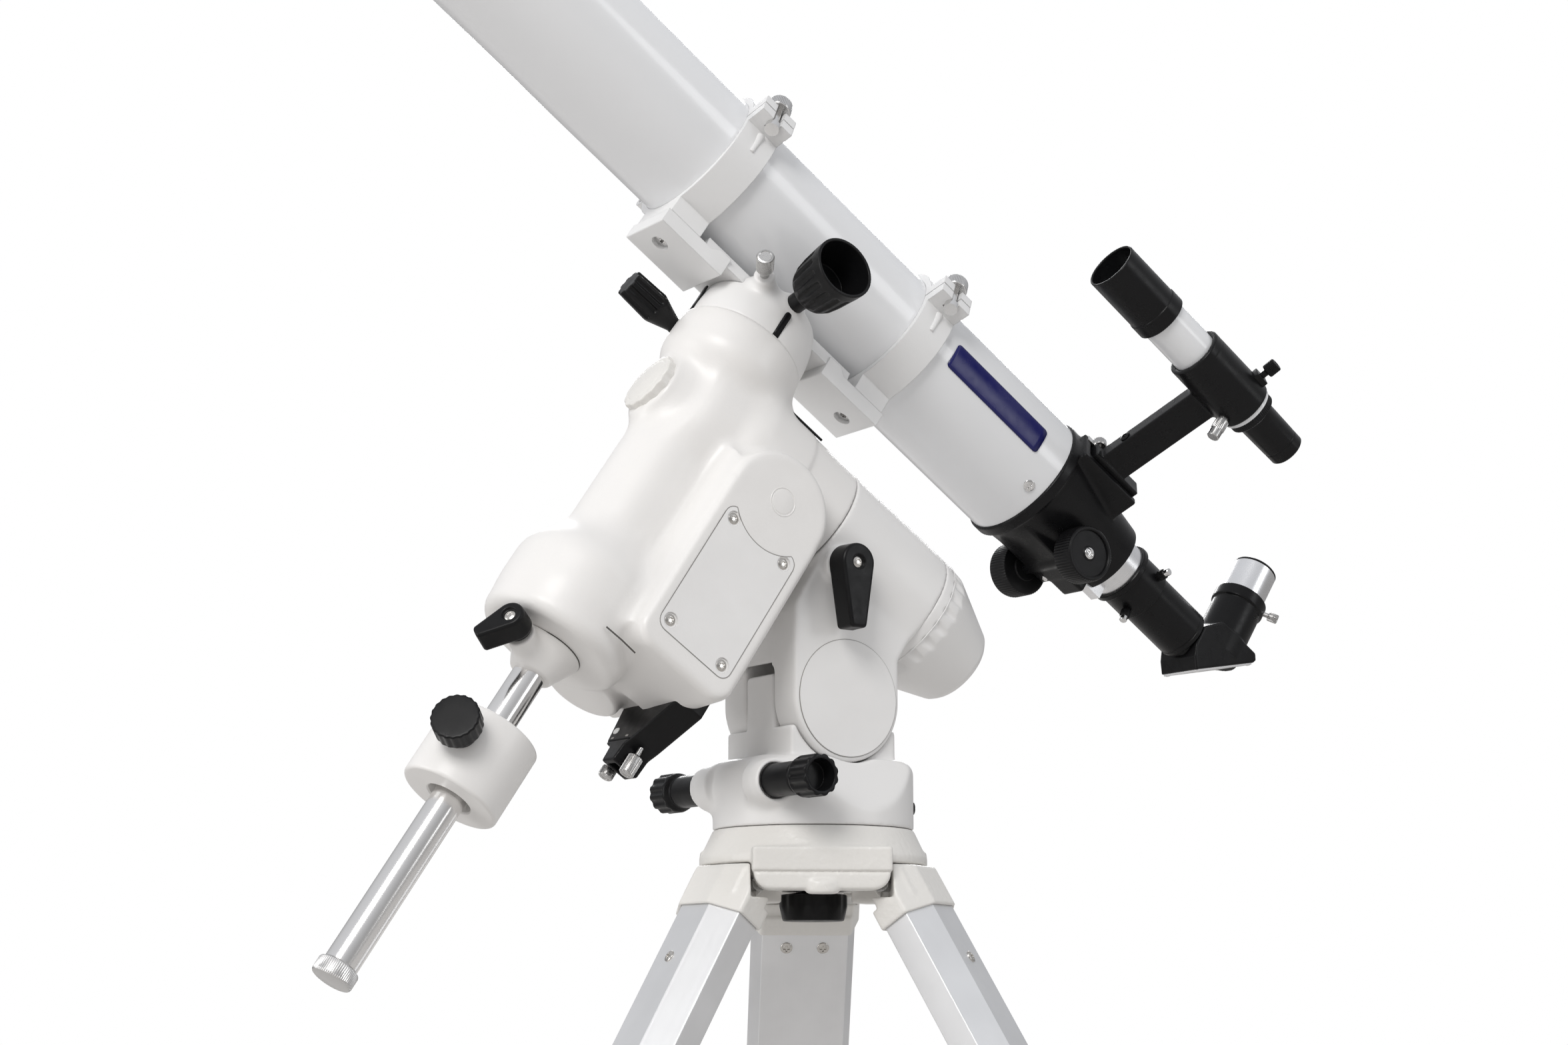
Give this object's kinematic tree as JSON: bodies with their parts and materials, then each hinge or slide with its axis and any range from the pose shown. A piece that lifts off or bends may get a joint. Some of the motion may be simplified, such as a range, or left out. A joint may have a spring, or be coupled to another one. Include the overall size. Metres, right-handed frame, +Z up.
{
  "type": "telescope on tripod",
  "caption": "Refractor telescope with finder, star diagonal and focuser on a tilted equatorial mount with counterweight bar, standing on a tripod of telescoping aluminium legs.",
  "frame": {"origin": "on the floor under the azimuth axis, in the middle of the three feet", "axes": "+Z up, -X the way the tilted polar axis leans (towards the counterweight and the sky end of the tube), -Y the side of the drive box and finder"},
  "size_m": [0.9304, 0.9178, 1.5262],
  "materials": {
    "mount_white": "semi-gloss fine textured paint",
    "tripod_cream": "hammered cream paint",
    "tube_white": "smooth gloss paint",
    "leg_silver": "satin anodised",
    "black_plastic": "satin moulded",
    "rubber": "matte",
    "black_satin": "satin black",
    "steel": "machined",
    "bright_steel": "plated",
    "glass": "coated lens"
  },
  "bodies": {
    "tripod": {"tripod_head": "tripod_cream", "leg_hinge_pins": "steel"},
    "head_knob": {"head_knob": "black_plastic"},
    "leg_n": {"leg_casting_n": "tripod_cream", "leg_upper_n": "leg_silver", "leg_collar_n": "tripod_cream"},
    "leg_n_lower": {"leg_lower_n": "leg_silver", "foot_n": "rubber"},
    "leg_n_lock": {"leg_lock_n": "black_plastic"},
    "leg_ne": {"leg_casting_ne": "tripod_cream", "leg_upper_ne": "leg_silver", "leg_collar_ne": "tripod_cream"},
    "leg_ne_lower": {"leg_lower_ne": "leg_silver", "foot_ne": "rubber"},
    "leg_ne_lock": {"leg_lock_ne": "black_plastic"},
    "leg_se": {"leg_casting_se": "tripod_cream", "leg_upper_se": "leg_silver", "leg_collar_se": "tripod_cream"},
    "leg_se_lower": {"leg_lower_se": "leg_silver", "foot_se": "rubber"},
    "leg_se_lock": {"leg_lock_se": "black_plastic"},
    "azimuth": {"az_base": "mount_white"},
    "az_knob_front": {"az_knob_front": "black_plastic"},
    "az_knob_rear": {"az_knob_rear": "black_plastic"},
    "polar": {"ra_housing": "mount_white", "rear_cover": "mount_white", "alt_covers": "mount_white", "alt_pin": "steel"},
    "ra_lever": {"ra_lever": "black_plastic"},
    "ra_body": {"dec_housing": "mount_white", "motor_cover": "mount_white", "drive_motors": "steel", "ra_shaft": "steel", "wireless_module": "black_plastic", "bar_collar": "mount_white"},
    "polar_cap": {"polar_cap": "black_plastic"},
    "dec_clamp_knob": {"dec_clamp_knob": "black_plastic"},
    "bar_lever": {"bar_lever": "black_plastic"},
    "cw_bar": {"cw_bar": "steel"},
    "bar_end_cap": {"bar_end_cap": "steel"},
    "counterweight": {"counterweight": "tube_white"},
    "cw_knob": {"cw_knob": "black_plastic"},
    "tube": {"saddle": "mount_white", "dovetail_plate": "tube_white", "tube_rings": "tube_white", "ring_bolts": "bright_steel", "main_tube": "tube_white", "dew_shield": "tube_white", "objective_lens": "glass", "focuser_body": "black_satin", "finder_sleeve": "black_satin", "finder_tube": "tube_white", "finder_fittings": "black_satin"},
    "saddle_knob": {"saddle_knob": "black_plastic"},
    "safety_screw": {"safety_screw": "bright_steel"},
    "drawtube": {"drawtube": "bright_steel", "adaptor": "black_satin"},
    "focus_knobs": {"focus_knobs": "black_plastic"},
    "diagonal": {"diagonal": "black_satin"},
    "eyepiece": {"eyepiece": "bright_steel"}
  },
  "joints": [
    {"name": "head_knob_turn", "type": "hinge", "parent": "tripod", "child": "head_knob", "pos_m": [0, 0, 0.771], "axis": [0, 0, 1], "continuous": true},
    {"name": "leg_n_fold", "type": "hinge", "parent": "tripod", "child": "leg_n", "pos_m": [-0.056, 0, 0.782], "axis": [0, -1, 0], "range_deg": [0, 28]},
    {"name": "leg_n_extend", "type": "slide", "parent": "leg_n", "child": "leg_n_lower", "axis": [-0.5, 0, -0.866], "range_m": [0, 0.56]},
    {"name": "leg_n_lock_turn", "type": "hinge", "parent": "leg_n", "child": "leg_n_lock", "pos_m": [-0.41498, 0, 0.22023], "axis": [-0.866, 0, 0.5], "continuous": true},
    {"name": "leg_ne_fold", "type": "hinge", "parent": "tripod", "child": "leg_ne", "pos_m": [0.028, 0.0485, 0.782], "axis": [-0.866, 0.5, 0], "range_deg": [0, 28]},
    {"name": "leg_ne_extend", "type": "slide", "parent": "leg_ne", "child": "leg_ne_lower", "axis": [0.25, 0.433, -0.866], "range_m": [0, 0.56]},
    {"name": "leg_ne_lock_turn", "type": "hinge", "parent": "leg_ne", "child": "leg_ne_lock", "pos_m": [0.20749, 0.35938, 0.22023], "axis": [0.433, 0.75, 0.5], "continuous": true},
    {"name": "leg_se_fold", "type": "hinge", "parent": "tripod", "child": "leg_se", "pos_m": [0.028, -0.0485, 0.782], "axis": [0.866, 0.5, 0], "range_deg": [0, 28]},
    {"name": "leg_se_extend", "type": "slide", "parent": "leg_se", "child": "leg_se_lower", "axis": [0.25, -0.433, -0.866], "range_m": [0, 0.56]},
    {"name": "leg_se_lock_turn", "type": "hinge", "parent": "leg_se", "child": "leg_se_lock", "pos_m": [0.20749, -0.35938, 0.22023], "axis": [0.433, -0.75, 0.5], "continuous": true},
    {"name": "azimuth_turn", "type": "hinge", "parent": "tripod", "child": "azimuth", "pos_m": [0, 0, 0.816], "axis": [0, 0, 1], "range_deg": [-7, 7]},
    {"name": "az_knob_front_turn", "type": "hinge", "parent": "azimuth", "child": "az_knob_front", "pos_m": [-0.054, -0.06, 0.842], "axis": [0, -1, 0], "continuous": true},
    {"name": "az_knob_rear_turn", "type": "hinge", "parent": "azimuth", "child": "az_knob_rear", "pos_m": [-0.054, 0.06, 0.842], "axis": [0, 1, 0], "continuous": true},
    {"name": "altitude_tilt", "type": "hinge", "parent": "azimuth", "child": "polar", "pos_m": [-0.0015, 0, 0.8946], "axis": [0, 1, 0], "range_deg": [-22, 36]},
    {"name": "ra_lever_turn", "type": "hinge", "parent": "polar", "child": "ra_lever", "pos_m": [-0.00949, -0.05, 0.97496], "axis": [0, -1, 0], "range_deg": [-30, 30]},
    {"name": "ra_turn", "type": "hinge", "parent": "polar", "child": "ra_body", "pos_m": [-0.0895, 0, 1.0627], "axis": [-0.829, 0, 0.5592], "range_deg": [-88, 88]},
    {"name": "polar_cap_pull", "type": "slide", "parent": "ra_body", "child": "polar_cap", "axis": [-0.829, 0, 0.5592], "range_m": [0, 0.03]},
    {"name": "dec_clamp_turn", "type": "hinge", "parent": "ra_body", "child": "dec_clamp_knob", "pos_m": [-0.10243, 0.015, 1.13294], "axis": [-0.829, 0, 0.5592], "continuous": true},
    {"name": "bar_lever_turn", "type": "hinge", "parent": "ra_body", "child": "bar_lever", "pos_m": [-0.21785, -0.01797, 0.9219], "axis": [-0.6953, -0.5446, 0.469], "range_deg": [-30, 30]},
    {"name": "cw_bar_slide", "type": "slide", "parent": "ra_body", "child": "cw_bar", "axis": [0.5592, 0, 0.829], "range_m": [0, 0.1]},
    {"name": "bar_end_cap_turn", "type": "hinge", "parent": "cw_bar", "child": "bar_end_cap", "pos_m": [-0.31541, 0, 0.72777], "axis": [-0.5592, 0, -0.829], "continuous": true},
    {"name": "counterweight_slide", "type": "slide", "parent": "ra_body", "child": "counterweight", "axis": [0.5592, 0, 0.829], "range_m": [-0.11, 0.02]},
    {"name": "cw_knob_turn", "type": "hinge", "parent": "counterweight", "child": "cw_knob", "pos_m": [-0.25875, -0.02779, 0.86324], "axis": [-0.5964, -0.6947, 0.4022], "continuous": true},
    {"name": "dec_turn", "type": "hinge", "parent": "ra_body", "child": "tube", "pos_m": [-0.05595, 0, 1.11244], "axis": [0.5592, 0, 0.829], "continuous": true},
    {"name": "saddle_knob_turn", "type": "hinge", "parent": "tube", "child": "saddle_knob", "pos_m": [-0.03889, -0.035, 1.13773], "axis": [0.0503, -0.9727, 0.2265], "continuous": true},
    {"name": "safety_screw_turn", "type": "hinge", "parent": "tube", "child": "safety_screw", "pos_m": [-0.05906, -0.0333, 1.15254], "axis": [-0.4974, -0.8, 0.3355], "continuous": true},
    {"name": "focus_slide", "type": "slide", "parent": "tube", "child": "drawtube", "axis": [0.829, 0, -0.5592], "range_m": [-0.012, 0.055]},
    {"name": "focus_knob_turn", "type": "hinge", "parent": "tube", "child": "focus_knobs", "pos_m": [0.19247, 0, 1.00326], "axis": [0, 1, 0], "range_deg": [-112, 506]},
    {"name": "diagonal_turn", "type": "hinge", "parent": "drawtube", "child": "diagonal", "pos_m": [0.31629, 0, 0.96329], "axis": [0.829, 0, -0.5592], "continuous": true},
    {"name": "eyepiece_pull", "type": "slide", "parent": "diagonal", "child": "eyepiece", "axis": [0.5592, 0, 0.829], "range_m": [0, 0.03]}
  ],
  "couplings": [
    {"joint": "focus_knob_turn", "follows": "focus_slide", "rad_per_m": 160}
  ]
}
